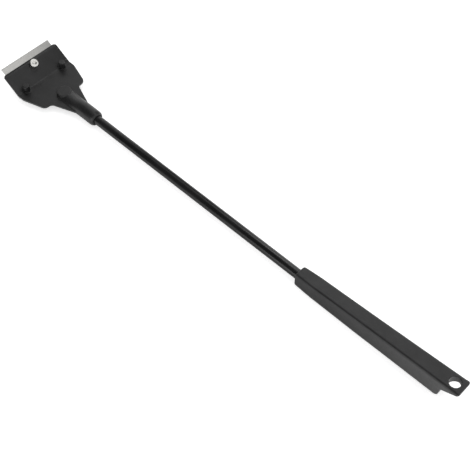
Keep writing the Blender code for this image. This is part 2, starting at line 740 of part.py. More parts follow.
def grip_bottom(x):
    """The grip's underside: the flat seat, the slope up to the butt, the butt's wall and the tab's wedge."""
    butt = GRIP_LENGTH - TAB_LENGTH
    slope = max(x - GRIP_SEAT_LENGTH, 0.0) / (butt - GRIP_SEAT_LENGTH)
    line = -GRIP_DEPTH + (GRIP_DEPTH - GRIP_BUTT_DEPTH) * min(slope, 1.0)
    if x <= butt:
        return line + arc_inset(butt - x, BUTT_RADIUS)
    root = butt + BUTT_DRAFT
    share = (x - root) / (GRIP_LENGTH - root)
    wedge = grip_top(x) - TAB_ROOT_THICKNESS + (TAB_ROOT_THICKNESS - TAB_TIP_THICKNESS) * share
    return wedge - arc_inset(x - root, TAB_ROOT_RADIUS)


def grip_ring(x):
    """The grip's section at x from its front face: a box with rounded corners."""
    inset = arc_inset(x, GRIP_FRONT_RADIUS)
    half_width = grip_half_width(x) - inset - arc_inset(GRIP_LENGTH - x, TAB_CORNER_RADIUS)
    low, high = grip_bottom(x) + inset, grip_top(x) - arc_inset(x, GRIP_BROW_RADIUS)
    most = min((high - low) * 0.45, half_width * 0.9)
    bottom_radius = min(GRIP_BOTTOM_RADIUS, most)
    top_radius = min(GRIP_TOP_RADIUS, most)
    section = rounded(
        [
            (-half_width, low, bottom_radius),
            (half_width, low, bottom_radius),
            (half_width, high, top_radius),
            (-half_width, high, top_radius),
        ]
    )
    return [(x, y, z) for y, z in section]


def grip_stations():
    """Places along the grip, close together where its outline turns."""
    butt = GRIP_LENGTH - TAB_LENGTH
    root = butt + BUTT_DRAFT
    places = arc_stations(GRIP_BROW_RADIUS)
    places += [GRIP_FLARE_LENGTH * step / 4 for step in range(1, 5)]
    places += [GRIP_FLARE_LENGTH + (GRIP_SEAT_LENGTH - GRIP_FLARE_LENGTH) * step / 3 for step in range(1, 4)]
    places += [GRIP_SEAT_LENGTH + (butt - BUTT_RADIUS - GRIP_SEAT_LENGTH) * step / 5 for step in range(1, 5)]
    places += [butt - distance for distance in reversed(arc_stations(BUTT_RADIUS))]
    places += [root + distance for distance in arc_stations(TAB_ROOT_RADIUS)]
    wedge_end = GRIP_LENGTH - TAB_CORNER_RADIUS
    wedge_start = root + TAB_ROOT_RADIUS
    places += [wedge_start + (wedge_end - wedge_start) * step / 3 for step in range(1, 3)]
    places += [GRIP_LENGTH - distance for distance in reversed(arc_stations(TAB_CORNER_RADIUS))]
    return places


def make_grip(plastic):
    """The hand grip: a lofted bar that widens and rises to its tail, with the rod's bore and the hanging hole."""
    frame = rod_frame("grip_frame", GRIP_FRONT_X)
    grip = piece("grip", loft("grip", [grip_ring(x) for x in grip_stations()]), frame)
    bore = cylinder("grip bore", ROD_DIAMETER / 2 + ROD_GAP, -CLEAR, ROD_IN_GRIP + ROD_GAP, ROUND)
    bore.transform(Matrix.Rotation(math.radians(90.0), 4, "Y"))
    combine(grip, cutter("grip bore", bore, frame), "DIFFERENCE")
    hole = cylinder("hang hole", HANG_HOLE_DIAMETER / 2, -GRIP_DEPTH - CLEAR, GRIP_REAR_RISE + CLEAR, ROUND)
    spot = (GRIP_LENGTH - HANG_HOLE_FROM_TAIL, 0.0, 0.0)
    combine(grip, cutter("hang hole", hole, frame, spot), "DIFFERENCE")
    finish(grip, plastic)
    return grip


clear_scene()
PARTS = collection("algae_scraper")
SHAPERS = collection("cutters and frames")
CREASE_FRAME = make_crease_frame()
JAW_FRAME = make_jaw_frame()

BLACK_PLASTIC = material("black moulded plastic", (0.040, 0.040, 0.041), 0.48, 0.0)
GRIP_PLASTIC = material("black grip plastic", (0.045, 0.045, 0.046), 0.60, 0.0)
COATED_STEEL = material("black coated steel", (0.022, 0.022, 0.023), 0.30, 0.0)
BLADE_STEEL = material("ground blade steel", (0.50, 0.50, 0.49), 0.36, 1.0)
SPINE_STEEL = material("spine steel", (0.42, 0.42, 0.41), 0.42, 1.0)
BRIGHT_STEEL = material("bright screw steel", (0.66, 0.65, 0.62), 0.25, 1.0)

make_head(BLACK_PLASTIC)
make_clamp_plate(BLACK_PLASTIC)
make_nut(BRIGHT_STEEL)
make_screw(BRIGHT_STEEL)
make_blade_sheet(BLADE_STEEL)
make_blade_spine(SPINE_STEEL)
make_rod(COATED_STEEL)
make_grip(GRIP_PLASTIC)
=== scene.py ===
"""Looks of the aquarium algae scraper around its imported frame. Lengths are in metres, in the frame's own axes."""

import json
import math

import bmesh
import bpy
from mathutils import Matrix, Vector


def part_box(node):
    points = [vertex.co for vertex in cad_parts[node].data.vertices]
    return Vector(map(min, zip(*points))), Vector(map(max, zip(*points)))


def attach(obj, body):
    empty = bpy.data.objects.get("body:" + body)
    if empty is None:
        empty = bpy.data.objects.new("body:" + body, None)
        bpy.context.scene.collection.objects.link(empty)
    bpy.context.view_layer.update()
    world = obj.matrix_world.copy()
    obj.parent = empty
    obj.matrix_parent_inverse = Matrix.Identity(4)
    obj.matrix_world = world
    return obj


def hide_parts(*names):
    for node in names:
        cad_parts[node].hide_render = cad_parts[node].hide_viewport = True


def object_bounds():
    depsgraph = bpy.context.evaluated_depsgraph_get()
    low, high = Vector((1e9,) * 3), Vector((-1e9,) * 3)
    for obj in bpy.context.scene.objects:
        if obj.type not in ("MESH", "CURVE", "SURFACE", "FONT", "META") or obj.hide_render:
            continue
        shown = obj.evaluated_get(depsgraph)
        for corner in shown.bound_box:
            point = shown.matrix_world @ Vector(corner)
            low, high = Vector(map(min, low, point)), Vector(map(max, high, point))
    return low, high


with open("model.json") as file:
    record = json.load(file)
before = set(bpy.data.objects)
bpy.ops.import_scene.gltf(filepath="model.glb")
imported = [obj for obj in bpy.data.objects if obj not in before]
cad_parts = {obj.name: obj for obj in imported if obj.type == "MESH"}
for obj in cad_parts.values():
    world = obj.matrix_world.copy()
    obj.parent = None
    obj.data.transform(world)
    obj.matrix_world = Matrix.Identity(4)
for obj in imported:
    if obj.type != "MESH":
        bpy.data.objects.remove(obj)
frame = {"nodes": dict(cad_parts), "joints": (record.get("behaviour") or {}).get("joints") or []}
CAD_LOW, CAD_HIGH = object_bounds()

# The jaw's frame, from the screw's joint: -X runs from the crease to the blade's edge, Z is square to the jaw
SCREW_REACH = 0.0112
SCREW_JOINT = next(joint for joint in frame["joints"] if joint["name"] == "screw_turn")
SCREW_AXIS = Vector(SCREW_JOINT["axis"]).normalized()
TILT = math.atan2(SCREW_AXIS.x, SCREW_AXIS.z)
JAW_TURN = Matrix.Rotation(TILT, 4, "Y")
CREASE = Vector(SCREW_JOINT["pos_m"]) + JAW_TURN.to_3x3() @ Vector((SCREW_REACH, 0.0, 0.0))
SCREW_PLACE = Matrix.Translation(CREASE) @ JAW_TURN @ Matrix.Translation((-SCREW_REACH, 0.0, 0.0))

# Places of the rod and the grip, from the frame
ROD_LOW, ROD_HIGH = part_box("rod")
ROD_MIDDLE = (ROD_LOW + ROD_HIGH) / 2
GRIP_LOW, GRIP_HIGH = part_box("grip")
GRIP_MIDDLE = (GRIP_LOW + GRIP_HIGH) / 2
GRIP_PLACE = Matrix.Translation((GRIP_LOW.x, ROD_MIDDLE.y, ROD_MIDDLE.z))
ALONG_X = Matrix.Rotation(math.radians(90.0), 4, "Y")
MIDDLE = Vector(((CAD_LOW.x + CAD_HIGH.x) / 2, 0.0, 0.0))

# Head: the hollow in its crease, and its nose, which is a cone in the CAD
HOLLOW_RADIUS = 0.0026
HOLLOW_ROOT = 0.0008
HOLLOW_FROM_SIDE = 0.0007
HOLLOW_STEPS = 12
NECK_RADIUS = 0.0050
CONE_LENGTH = 0.0018
CONE_DROP = 0.0010
NOSE_LENGTH = 0.0032
NOSE_MOUTH = 0.0034
HEAD_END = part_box("head_body")[1].x

# Fineness of the moulded skins
HEAD_VOXEL = 0.00016
GRIP_VOXEL = 0.00019

# Screw
SCREW_POINTS = 144
HEAD_UNDER = 0.0001
HEAD_TOP = 0.0031
HEAD_RADIUS = 0.00275
HEAD_EDGE_RADIUS = 0.00028
HEAD_EDGE_STEPS = 6
HEAD_FOOT_CHAMFER = 0.0001
KNURL_DEPTH = 0.00007
KNURL_PROFILE = (0.0, 0.5, 1.0, 0.5)
KNURL_RUN_OUT = 0.0001
KNURL_FROM_UNDER = 0.0003
SOCKET_ACROSS_FLATS = 0.0025
SOCKET_DEPTH = 0.0015
SOCKET_CHAMFER_WIDTH = 0.00009
SOCKET_CHAMFER_DEPTH = 0.00016
SOCKET_FLOOR_STEP = 0.00001
DRILL_RADIUS = 0.00105
DRILL_TIP_RADIUS = 0.00012
DRILL_DEPTH = 0.00034
SHANK_END = -0.0059
SHANK_TIP_RADIUS = 0.00105
UNDERCUT_RADIUS = 0.00127
UNDERCUT_DROP = 0.00012

# Thread of the screw and the nut. Its profile's crest and root begin at these shares of a turn from the middle.
THREAD_PITCH = 0.0005
THREAD_CREST = 0.00145
THREAD_ROOT = 0.00123
THREAD_CREST_SHARE = 1 / 12
THREAD_ROOT_SHARE = 5 / 12
THREAD_STEPS = 64
THREAD_FROM_HEAD = 0.0003
THREAD_FROM_END = 0.00028
THREAD_RUN_IN = 0.0005
THREAD_RUN_OUT = 0.0004
THREAD_END_SHARE = 0.25

# Nut
NUT_POINTS = 96
NUT_ACROSS_FLATS = 0.0055
NUT_LOW = -0.0050
NUT_HIGH = -0.0032
NUT_BORE = 0.0015
NUT_FACE_INSET = 0.00008
NUT_CORNER_SLOPE = math.radians(60.0)
NUT_HEIGHT_SHARES = (0.0, 0.02, 0.05, 0.09, 0.14, 0.2, 0.8, 0.86, 0.91, 0.95, 0.98, 1.0)
NUT_SINK_WIDTH = 0.00016
NUT_SINK_DEPTH = 0.00014
NUT_THREAD_DEPTH = 0.00013
NUT_THREAD_STEPS = 20

# Rod
ROD_POINTS = 96
ROD_STEPS = 24
ROD_RADIUS = 0.0030
ROD_CHAMFER = 0.0005

# Grip, from the middle of its front face: lengths along X, rises and depths from the rod's axis
GRIP_LENGTH = 0.1094
GRIP_FRONT_WIDTH = 0.0080
GRIP_BODY_WIDTH = 0.0093
GRIP_REAR_WIDTH = 0.0111
GRIP_FLARE_LENGTH = 0.0140
GRIP_FLARE_POWER = 1.5
GRIP_FRONT_RISE = 0.00517
GRIP_REAR_RISE = 0.0116
GRIP_DEPTH = 0.0051
GRIP_BUTT_DEPTH = 0.0035
GRIP_SEAT_LENGTH = 0.0440
GRIP_TOP_RADIUS = 0.0015
GRIP_BOTTOM_RADIUS = 0.0010
GRIP_FRONT_RADIUS = 0.0010
GRIP_BROW_RADIUS = 0.0018
BUTT_RADIUS = 0.0025
BUTT_DRAFT = 0.0004
TAB_LENGTH = 0.0106
TAB_ROOT_THICKNESS = 0.0068
TAB_TIP_THICKNESS = 0.0020
TAB_ROOT_RADIUS = 0.0009
TAB_CORNER_RADIUS = 0.0014
BUTT = GRIP_LENGTH - TAB_LENGTH
HANG_HOLE_RADIUS = 0.00325
HANG_HOLE_FROM_TAIL = 0.0058
HANG_HOLE_LOW = -0.006
HANG_HOLE_HIGH = 0.014
HANG_HOLE_POINTS = 96
BORE_RADIUS = 0.0031
BORE_LENGTH = 0.0401
BORE_START = -0.002
BORE_POINTS = 64
GRIP_SECTIONS = 75
SECTION_SPACING = 0.0004
ARC_STEPS = 12
CORNER_STEPS = 8


# Meshes


def placed(name, data):
    """A new object with this data, linked to the scene."""
    thing = bpy.data.objects.new(name, data)
    bpy.context.scene.collection.objects.link(thing)
    return thing


def show(name, mesh, material, body, slot, *stands_for):
    """A piece of the object that rides on the body and stands for the named CAD nodes."""
    thing = placed(name, mesh)
    dress(mesh, material)
    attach(thing, body)
    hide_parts(*stands_for)
    return thing


def dress(mesh, material):
    """Gives the mesh this one material."""
    mesh.materials.clear()
    mesh.materials.append(material)


def as_mesh(form, name):
    """The mesh of the bmesh form, which is freed."""
    mesh = bpy.data.meshes.new(name)
    form.to_mesh(mesh)
    form.free()
    return mesh


def settled(thing):
    """The object's mesh with its modifiers applied. The object itself is removed."""
    graph = bpy.context.evaluated_depsgraph_get()
    mesh = bpy.data.meshes.new_from_object(thing.evaluated_get(graph))
    bpy.data.objects.remove(thing)
    return mesh


def welded(node):
    """A copy of the CAD node's mesh with the vertices joined that it holds once for each normal."""
    form = bmesh.new()
    form.from_mesh(frame["nodes"][node].data)
    bmesh.ops.remove_doubles(form, verts=form.verts, dist=2e-7)
    return as_mesh(form, node + "_copy")


def moulded(mesh, voxel, rounds, triangles, shape=None):
    """The shape with a small soft radius on each edge and in each corner, as a mould leaves them."""
    thing = placed(mesh.name, mesh)
    skin = thing.modifiers.new("skin", "REMESH")
    skin.mode = "VOXEL"
    skin.voxel_size = voxel
    soften = thing.modifiers.new("soften", "SMOOTH")
    soften.factor = 0.5
    soften.iterations = rounds
    made = settled(thing)
    if shape:
        for vert in made.vertices:
            vert.co = shape(vert.co)
    count = 2 * len(made.polygons)
    if count > triangles:
        thing = placed(made.name, made)
        fewer = thing.modifiers.new("fewer", "DECIMATE")
        fewer.ratio = triangles / count
        made = settled(thing)
    made.shade_smooth()
    return made


def head_form():
    """The CAD head with a soft hollow laid into the crease between jaw and plate."""
    form = bmesh.new()
    form.from_mesh(welded("head_body"))
    reach = HOLLOW_RADIUS * math.tan(TILT / 2)
    profile = [(CREASE.x, CREASE.z - HOLLOW_ROOT)]
    for step in range(HOLLOW_STEPS + 1):
        angle = TILT * step / HOLLOW_STEPS
        along = CREASE.x + reach - HOLLOW_RADIUS * math.sin(angle)
        profile.append((along, CREASE.z + HOLLOW_RADIUS * (1.0 - math.cos(angle))))
    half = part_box("head_body")[1].y - HOLLOW_FROM_SIDE
    left, right = [[form.verts.new((x, y, z)) for x, z in profile] for y in (-half, half)]
    sides = [form.faces.new((left[i], left[i - 1], right[i - 1], right[i])) for i in range(len(profile))]
    sides += [form.faces.new(left), form.faces.new(right)]
    bmesh.ops.recalc_face_normals(form, faces=sides)
    return as_mesh(form, "head_form")


def round_nose(spot):
    """Moves a point of the head's end inwards, onto a nose that is rounded towards the rod."""
    from_end = HEAD_END - spot.x
    if from_end >= NOSE_LENGTH:
        return spot
    middle = Vector((spot.x, ROD_MIDDLE.y, ROD_MIDDLE.z))
    away = spot - middle
    if away.length <= BORE_RADIUS:
        return spot
    cone = NECK_RADIUS - CONE_DROP * max(1.0 - from_end / CONE_LENGTH, 0.0)
    share = 1.0 - max(from_end, 0.0) / NOSE_LENGTH
    round_end = NOSE_MOUTH + (NECK_RADIUS - NOSE_MOUTH) * math.sqrt(1.0 - share**2)
    moved = BORE_RADIUS + (away.length - BORE_RADIUS) * (round_end - BORE_RADIUS) / (cone - BORE_RADIUS)
    return middle + away.normalized() * moved


def skin_rings(name, rings, place, closed=False, sharp=32.0):
    """A closed mesh over rings with the same number of points. Its ends meet, or are closed by a fan."""
    form = bmesh.new()
    rows = [[form.verts.new(place @ Vector(point)) for point in ring] for ring in rings]
    pairs = list(zip(rows, rows[1:])) + ([(rows[-1], rows[0])] if closed else [])
    count = len(rows[0])
    for low, high in pairs:
        for i in range(count):
            form.faces.new((low[i], low[(i + 1) % count], high[(i + 1) % count], high[i]))
    if not closed:
        for row in (rows[0], rows[-1]):
            middle = form.verts.new(sum((vert.co for vert in row), Vector()) / count)
            for i in range(count):
                form.faces.new((row[i], row[(i + 1) % count], middle))
    bmesh.ops.recalc_face_normals(form, faces=form.faces)
    mesh = as_mesh(form, name)
    mesh.shade_smooth()
    mesh.set_sharp_from_angle(angle=math.radians(sharp))
    return mesh


def ring(count, radius, height):
    """Points round Z, where the radius is a number or a function of the point's number and angle."""
    points = []
    for i in range(count):
        angle = 2 * math.pi * i / count
        away = radius(i, angle) if callable(radius) else radius
        points.append((away * math.cos(angle), away * math.sin(angle), height))
    return points


def hexagon_radius(across_flats):
    """The radius of a hexagon with two flats facing along X, by angle."""
    half = across_flats / 2
    return lambda i, angle: half / math.cos(math.remainder(angle, math.pi / 3))


def crest_share(height, angle):
    """How far the thread stands out here: 0 at its root, 1 on its crest."""
    turn = (height / THREAD_PITCH - angle / (2 * math.pi)) % 1.0
    share = (THREAD_ROOT_SHARE - abs(turn - 0.5)) / (THREAD_ROOT_SHARE - THREAD_CREST_SHARE)
    return min(max(share, 0.0), 1.0)


def screw_mesh():
    """A socket-head cap screw: hexagon socket with a drilled bottom, knurled head, cut thread."""
    hexagon = hexagon_radius(SOCKET_ACROSS_FLATS)
    mouth = SOCKET_ACROSS_FLATS / 2 / math.cos(math.pi / 6) + SOCKET_CHAMFER_WIDTH
    floor = HEAD_TOP - SOCKET_DEPTH
    smooth_side = HEAD_RADIUS - KNURL_DEPTH

    def knurled(i, angle):
        return HEAD_RADIUS - KNURL_DEPTH * KNURL_PROFILE[i % len(KNURL_PROFILE)]

    outline = [
        (DRILL_TIP_RADIUS, floor - DRILL_DEPTH),
        (DRILL_RADIUS, floor),
        (hexagon, floor + SOCKET_FLOOR_STEP),
        (hexagon, HEAD_TOP - SOCKET_CHAMFER_DEPTH),
        (mouth, HEAD_TOP),
        ((mouth + HEAD_RADIUS) / 2, HEAD_TOP),
    ]
    for step in range(HEAD_EDGE_STEPS + 1):
        angle = math.pi / 2 * step / HEAD_EDGE_STEPS
        inward = HEAD_EDGE_RADIUS * (1.0 - math.sin(angle))
        outline.append((smooth_side - inward, HEAD_TOP - HEAD_EDGE_RADIUS * (1.0 - math.cos(angle))))
    outline += [
        (knurled, HEAD_TOP - HEAD_EDGE_RADIUS - KNURL_RUN_OUT),
        (knurled, HEAD_UNDER + KNURL_FROM_UNDER + KNURL_RUN_OUT),
        (smooth_side, HEAD_UNDER + KNURL_FROM_UNDER),
        (smooth_side, HEAD_UNDER + HEAD_FOOT_CHAMFER),
        (smooth_side - HEAD_FOOT_CHAMFER, HEAD_UNDER),
        (THREAD_CREST, HEAD_UNDER),
        (UNDERCUT_RADIUS, HEAD_UNDER - UNDERCUT_DROP),
    ]
    first, last = HEAD_UNDER - THREAD_FROM_HEAD, SHANK_END + THREAD_FROM_END
    for step in range(THREAD_STEPS + 1):
        height = first + (last - first) * step / THREAD_STEPS
        run_out = (height - last) / THREAD_RUN_OUT + THREAD_END_SHARE
        depth = (THREAD_CREST - THREAD_ROOT) * min(1.0, (first - height) / THREAD_RUN_IN, run_out)

        def thread(i, angle, height=height, depth=depth):
            return THREAD_ROOT + depth * crest_share(height, angle)

        outline.append((thread, height))
    outline.append((SHANK_TIP_RADIUS, SHANK_END))
    rings = [ring(SCREW_POINTS, radius, height) for radius, height in outline]
    return skin_rings("cap_screw", rings, SCREW_PLACE, sharp=24.0)


def nut_mesh():
    """A hexagon nut with turned-down corners and a countersunk, threaded bore."""
    hexagon = hexagon_radius(NUT_ACROSS_FLATS)
    thickness = NUT_HIGH - NUT_LOW

    def outside(height):
        inward = min(height - NUT_LOW, NUT_HIGH - height)
        cone = NUT_ACROSS_FLATS / 2 - NUT_FACE_INSET + inward * math.tan(NUT_CORNER_SLOPE)
        return lambda i, angle: min(hexagon(i, angle), cone)

    outline = []
    for share in NUT_HEIGHT_SHARES:
        height = NUT_LOW + thickness * share
        outline.append((outside(height), height))
    outline.append((NUT_BORE + NUT_SINK_WIDTH, NUT_HIGH))
    for step in range(NUT_THREAD_STEPS + 1):
        height = NUT_HIGH - NUT_SINK_DEPTH - (thickness - 2 * NUT_SINK_DEPTH) * step / NUT_THREAD_STEPS

        def thread(i, angle, height=height):
            return NUT_BORE + NUT_THREAD_DEPTH * crest_share(height, angle)

        outline.append((thread, height))
    outline.append((NUT_BORE + NUT_SINK_WIDTH, NUT_LOW))
    rings = [ring(NUT_POINTS, radius, height) for radius, height in outline]
    return skin_rings("hex_nut", rings, SCREW_PLACE, closed=True)


def rod_mesh():
    """The rod with its chamfered ends, along the CAD rod's own axis."""
    length = ROD_HIGH.x - ROD_LOW.x
    straight = length - 2 * ROD_CHAMFER
    outline = [(ROD_RADIUS - ROD_CHAMFER, 0.0)]
    for step in range(ROD_STEPS + 1):
        outline.append((ROD_RADIUS, ROD_CHAMFER + straight * step / ROD_STEPS))
    outline.append((ROD_RADIUS - ROD_CHAMFER, length))
    rings = [ring(ROD_POINTS, radius, height) for radius, height in outline]
    place = Matrix.Translation((ROD_LOW.x, ROD_MIDDLE.y, ROD_MIDDLE.z)) @ ALONG_X
    return skin_rings("rod_bar", rings, place)


# Grip


def arc_inset(distance, radius):
    """How far a rounded edge draws in at this distance from the end face."""
    if distance >= radius:
        return 0.0
    return radius - math.sqrt(radius**2 - (radius - max(distance, 0.0)) ** 2)


def grip_half_width(x):
    """Half of the grip's width: it grows to the tail, and draws in over a short flare at the front."""
    into_flare = max(1.0 - x / GRIP_FLARE_LENGTH, 0.0)
    flare = (GRIP_BODY_WIDTH - GRIP_FRONT_WIDTH) * into_flare**GRIP_FLARE_POWER
    return (GRIP_BODY_WIDTH + (GRIP_REAR_WIDTH - GRIP_BODY_WIDTH) * (x / GRIP_LENGTH) ** 2 - flare) / 2


def grip_top(x):
    return GRIP_FRONT_RISE + (GRIP_REAR_RISE - GRIP_FRONT_RISE) * x / GRIP_LENGTH


def grip_bottom(x):
    """The grip's underside: level, then rising to the butt, and behind it the wedge of the hanging tab."""
    slope = max(x - GRIP_SEAT_LENGTH, 0.0) / (BUTT - GRIP_SEAT_LENGTH)
    line = -GRIP_DEPTH + (GRIP_DEPTH - GRIP_BUTT_DEPTH) * min(slope, 1.0)
    if x <= BUTT:
        return line + arc_inset(BUTT - x, BUTT_RADIUS)
    root = BUTT + BUTT_DRAFT
    share = (x - root) / (GRIP_LENGTH - root)
    wedge = grip_top(x) - TAB_ROOT_THICKNESS + (TAB_ROOT_THICKNESS - TAB_TIP_THICKNESS) * share
    return wedge - arc_inset(x - root, TAB_ROOT_RADIUS)


def grip_section(x):
    """The grip's section at x from its front face: a box with rounded corners."""
    inset = arc_inset(x, GRIP_FRONT_RADIUS)
    half = grip_half_width(x) - inset - arc_inset(GRIP_LENGTH - x, TAB_CORNER_RADIUS)
    low, high = grip_bottom(x) + inset, grip_top(x) - arc_inset(x, GRIP_BROW_RADIUS)
    most = min((high - low) * 0.45, half * 0.9)
    under, over = min(GRIP_BOTTOM_RADIUS, most), min(GRIP_TOP_RADIUS, most)
    corners = [
        (half - under, low + under, under, -90.0),
        (half - over, high - over, over, 0.0),
        (-half + over, high - over, over, 90.0),
        (-half + under, low + under, under, 180.0),
    ]
    section = []
    for y, z, radius, first in corners:
        for step in range(CORNER_STEPS + 1):
            angle = math.radians(first + 90.0 * step / CORNER_STEPS)
            section.append((x, y + radius * math.cos(angle), z + radius * math.sin(angle)))
    return section


def grip_places():
    """Where the grip's sections lie: close together in its rounded ends, even elsewhere."""
    places = set()
    arcs = (
        (0.0, GRIP_BROW_RADIUS, 1),
        (BUTT, BUTT_RADIUS, -1),
        (BUTT + BUTT_DRAFT, TAB_ROOT_RADIUS, 1),
        (GRIP_LENGTH, TAB_CORNER_RADIUS, -1),
    )
    for end, radius, way in arcs:
        for step in range(ARC_STEPS + 1):
            turn = math.pi / 2 * step / ARC_STEPS
            places.add(round(end + way * radius * (1.0 - math.cos(turn)), 8))
    for step in range(1, GRIP_SECTIONS):
        x = GRIP_LENGTH * step / GRIP_SECTIONS
        if all(abs(x - other) > SECTION_SPACING for other in places):
            places.add(round(x, 8))
    return sorted(places)


def round_cutter(name, count, radius, low, high, place):
    """A cylinder along the place's Z, to cut a hole with."""
    rings = [ring(count, radius, low), ring(count, radius, high)]
    mesh = skin_rings(name, rings, place)
    return placed(mesh.name, mesh)


def grip_mesh():
    """The grip's lofted bar with the rod's bore and the hanging hole."""
    mesh = skin_rings("grip_bar", [grip_section(x) for x in grip_places()], GRIP_PLACE)
    bar = placed(mesh.name, mesh)
    hole_spot = Matrix.Translation((GRIP_LENGTH - HANG_HOLE_FROM_TAIL, 0.0, 0.0))
    cutters = (
        round_cutter("bore", BORE_POINTS, BORE_RADIUS, BORE_START, BORE_LENGTH, GRIP_PLACE @ ALONG_X),
        round_cutter(
            "hole", HANG_HOLE_POINTS, HANG_HOLE_RADIUS, HANG_HOLE_LOW, HANG_HOLE_HIGH, GRIP_PLACE @ hole_spot
        ),
    )
    for cutter in cutters:
        cut = bar.modifiers.new(cutter.name, "BOOLEAN")
        cut.operation = "DIFFERENCE"
        cut.solver = "EXACT"
        cut.object = cutter
    mesh = settled(bar)
    for cutter in cutters:
        bpy.data.objects.remove(cutter)
    return mesh


# Materials. Textures are measured in millimetres, and the ranges are shares of a noise that lies about 0.5.

WIDE_RANGE = (0.3, 0.7)
NARROW_RANGE = (0.35, 0.65)
STAIN_RANGE = (0.55, 0.75)
GROUND_RANGE = (-18.82, -18.90)
MILLIMETRES = 1000.0
WHITE = (1.0, 1.0, 1.0, 1.0)
BLACK = (0.0, 0.0, 0.0, 1.0)


def start(name, colour, roughness, metallic=0.0):
    """A material with this surface, its node tree and its surface node."""
    made = bpy.data.materials.new(name)
    made.use_nodes = True
    surface = made.node_tree.nodes["Principled BSDF"]
    surface.inputs["Base Color"].default_value = (*colour, 1.0)
    surface.inputs["Roughness"].default_value = roughness
    surface.inputs["Metallic"].default_value = metallic
    return made, made.node_tree, surface


def empty_material(name):
    """A material without nodes, and its node tree."""
    made = bpy.data.materials.new(name)
    made.use_nodes = True
    made.node_tree.nodes.clear()
    return made, made.node_tree


def put(tree, kind, inputs=None, **settings):
    """A node of the kind. Its inputs are numbers, colours or other nodes' sockets."""
    made = tree.nodes.new(kind)
    for key, value in settings.items():
        setattr(made, key, value)
    for key, value in (inputs or {}).items():
        if isinstance(value, bpy.types.NodeSocket):
            tree.links.new(value, made.inputs[key])
        else:
            made.inputs[key].default_value = value
    return made


def millimetres(tree):
    """The place on the object in millimetres, which moves with the piece."""
    spot = put(tree, "ShaderNodeTexCoord").outputs["Object"]
    scaled = put(tree, "ShaderNodeVectorMath", {0: spot, "Scale": MILLIMETRES}, operation="SCALE")
    return scaled.outputs["Vector"]


def noise(tree, place, scale, detail=2.0, stretch=None, distortion=0.0):
    if stretch:
        stretched = put(tree, "ShaderNodeVectorMath", {0: place, 1: stretch}, operation="MULTIPLY")
        place = stretched.outputs["Vector"]
    inputs = {"Vector": place, "Scale": scale, "Detail": detail, "Distortion": distortion}
    return put(tree, "ShaderNodeTexNoise", inputs).outputs["Fac"]


def spread(tree, value, limits, results=(0.0, 1.0), **settings):
    """The value, carried from between the limits to between the results."""
    inputs = {
        "Value": value,
        "From Min": limits[0],
        "From Max": limits[1],
        "To Min": results[0],
        "To Max": results[1],
    }
    return put(tree, "ShaderNodeMapRange", inputs, **settings).outputs["Result"]


def blend(tree, share, first, second):
    """A mix of two colours, each a colour or a socket."""
    made = put(tree, "ShaderNodeMix", data_type="RGBA")
    for socket, value in ((made.inputs[0], share), (made.inputs[6], first), (made.inputs[7], second)):
        if isinstance(value, bpy.types.NodeSocket):
            tree.links.new(value, socket)
        else:
            socket.default_value = (*value, 1.0) if isinstance(value, tuple) else value
    return made.outputs[2]


def bump(tree, surface, height, distance):
    made = put(tree, "ShaderNodeBump", {"Height": height, "Distance": distance, "Strength": 1.0})
    tree.links.new(made.outputs["Normal"], surface.inputs["Normal"])


def tint(colour, factor):
    return tuple(value * factor for value in colour)


def vary_colour(tree, surface, share, first, second):
    """Sets the surface's colour to a mix of the two."""
    tree.links.new(blend(tree, share, first, second), surface.inputs["Base Color"])


def vary_roughness(tree, surface, value, limits, least, most):
    """Lets the surface's roughness go from least to most with the value."""
    tree.links.new(spread(tree, value, limits, (least, most)), surface.inputs["Roughness"])


def moulded_plastic(name, colour, roughness, grain, depth):
    """Black moulded plastic with a fine spark-eroded texture, drifting a little in tone and gloss."""
    made, tree, surface = start(name, colour, roughness)
    place = millimetres(tree)
    drift = noise(tree, place, scale=0.11, detail=3.0)
    vary_colour(tree, surface, spread(tree, drift, NARROW_RANGE), tint(colour, 0.80), tint(colour, 1.30))
    smudge = noise(tree, place, scale=0.45, detail=4.0, distortion=0.6)
    vary_roughness(tree, surface, smudge, WIDE_RANGE, roughness - 0.035, roughness + 0.045)
    bump(tree, surface, noise(tree, place, scale=grain, detail=3.0), depth)
    return made


def coated_steel(name, colour, roughness):
    """A smooth black coating over drawn steel: faint long draw lines and a few softer patches."""
    made, tree, surface = start(name, colour, roughness)
    place = millimetres(tree)
    patches = noise(tree, place, scale=0.16, detail=3.0, stretch=(0.35, 1.0, 1.0))
    vary_roughness(tree, surface, patches, NARROW_RANGE, roughness - 0.03, roughness + 0.05)
    vary_colour(tree, surface, spread(tree, patches, WIDE_RANGE), colour, tint(colour, 1.5))
    lines = noise(tree, place, scale=3.4, detail=3.0, stretch=(0.03, 1.0, 1.0))
    bump(tree, surface, lines, distance=0.000006)
    return made


